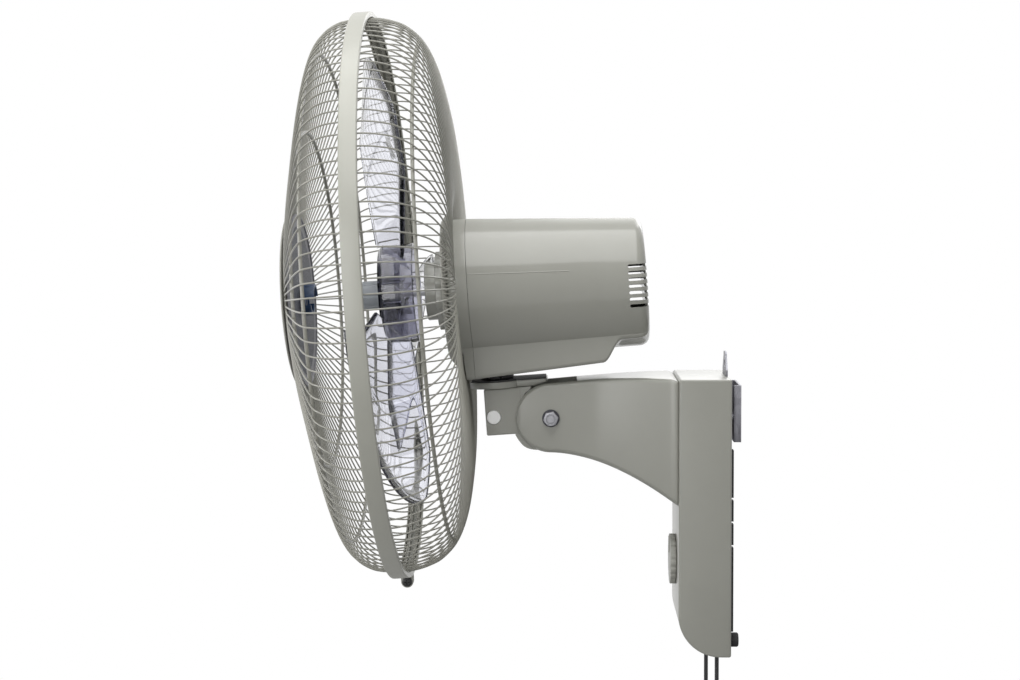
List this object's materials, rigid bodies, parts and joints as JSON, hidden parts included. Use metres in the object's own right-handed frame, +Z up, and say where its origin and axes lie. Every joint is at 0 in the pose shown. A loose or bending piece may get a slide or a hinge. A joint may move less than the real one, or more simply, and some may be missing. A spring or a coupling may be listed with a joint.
{
  "type": "wall mounted fan",
  "caption": "Wall fan with a wire cage, clear blades, a closed motor on a tilting and swinging neck, a curved arm and a wall box with a speed knob and pull cords.",
  "frame": {"origin": "centre of the rear face of the wall bracket, on the wall", "axes": "+Z up, +Y into the wall, -Y the way the fan blows, +X to the right of a person who faces the wall"},
  "size_m": [0.55, 0.4374, 0.8368],
  "materials": {
    "grey_plastic": "satin light greige, smooth moulding",
    "wire_paint": "light greige powder coat on round steel wire",
    "band_paint": "light greige powder coat, semi gloss",
    "clear_plastic": "clear lavender polymer, polished",
    "dark_plastic": "dark grey, fine texture",
    "black_plastic": "black, matt",
    "cord_black": "black braided cord, matt",
    "steel": "plated steel",
    "zinc_sheet": "zinc plated sheet, dull",
    "copper_winding": "varnished winding on laminated core",
    "black_rubber": "black rubber, matt",
    "white_plastic": "white nylon",
    "blue_plastic": "deep blue moulding"
  },
  "bodies": {
    "wall_unit": {"wall_bracket": "zinc_sheet", "wall_box": "grey_plastic", "back_plate": "zinc_sheet", "cushion_left": "black_rubber", "cushion_right": "black_rubber", "rubber_foot_left": "black_rubber", "rubber_foot_right": "black_rubber", "plate_screw_upper": "steel", "plate_screw_lower": "steel", "support_arm": "grey_plastic", "rotary_switch": "black_plastic", "power_switch": "black_plastic", "swing_switch": "black_plastic", "power_cord_guide": "black_plastic", "swing_cord_guide": "black_plastic", "run_capacitor": "dark_plastic", "terminal_block": "white_plastic", "tilt_bolt": "steel", "tilt_nut": "steel", "tilt_washer_near": "steel", "tilt_washer_far": "steel"},
    "knob": {"speed_knob": "grey_plastic", "knob_spindle": "steel"},
    "power_line": {"power_cord": "cord_black", "power_pull": "black_plastic"},
    "swing_line": {"swing_cord": "cord_black", "swing_pull": "black_plastic"},
    "neck": {"tilt_knuckle": "grey_plastic", "stop_pin": "white_plastic", "swivel_plate": "grey_plastic", "friction_disc": "black_plastic", "swivel_spindle": "steel"},
    "head": {"swivel_collar": "black_plastic", "front_guard": "wire_paint", "front_ring_outer": "wire_paint", "front_ring_inner": "wire_paint", "rear_guard": "wire_paint", "rear_ring": "wire_paint", "rim_band": "band_paint", "clamp_screw": "steel", "clamp_nut": "steel", "badge_front": "grey_plastic", "badge_back": "dark_plastic", "badge_clip": "blue_plastic", "front_cover": "grey_plastic", "rear_cover": "grey_plastic", "guard_nut": "grey_plastic", "motor_stator": "copper_winding", "front_shield": "steel", "rear_shield": "steel", "front_bearing": "steel", "rear_bearing": "steel", "swing_gearbox": "black_plastic"},
    "rotor": {"fan_blade": "clear_plastic", "spinner": "dark_plastic", "motor_rotor": "steel"},
    "crank": {"swing_crank": "steel"},
    "link": {"swing_link": "zinc_sheet"}
  },
  "joints": [
    {"name": "head_tilt", "type": "hinge", "parent": "wall_unit", "child": "neck", "pos_m": [0, -0.182, -0.0045], "axis": [1, 0, 0], "range_deg": [-4, 16]},
    {"name": "head_swing", "type": "hinge", "parent": "neck", "child": "head", "pos_m": [0, -0.23138, -0.00795], "axis": [0, -0.0698, 0.9976], "range_deg": [-45, 45]},
    {"name": "link_swing", "type": "hinge", "parent": "neck", "child": "link", "pos_m": [0.01, -0.23138, -0.00795], "axis": [0, -0.0698, 0.9976], "range_deg": [-45, 45]},
    {"name": "crank_turn", "type": "hinge", "parent": "head", "child": "crank", "pos_m": [0, -0.1607, -0.00301], "axis": [0, -0.0698, 0.9976], "continuous": true},
    {"name": "rotor_spin", "type": "hinge", "parent": "head", "child": "rotor", "pos_m": [0, -0.34156, 0.11266], "axis": [0, 0.9976, 0.0698], "continuous": true},
    {"name": "knob_turn", "type": "hinge", "parent": "wall_unit", "child": "knob", "pos_m": [0, -0.061, -0.1445], "axis": [0, 1, 0], "range_deg": [0, 120]},
    {"name": "power_pull_slide", "type": "slide", "parent": "wall_unit", "child": "power_line", "axis": [0, 0, -1], "range_m": [0, 0.01], "stiffness_N_per_m": 300},
    {"name": "swing_pull_slide", "type": "slide", "parent": "wall_unit", "child": "swing_line", "axis": [0, 0, -1], "range_m": [0, 0.01], "stiffness_N_per_m": 300}
  ],
  "couplings": [
    {"joint": "link_swing", "follows": "head_swing", "ratio": 1}
  ]
}
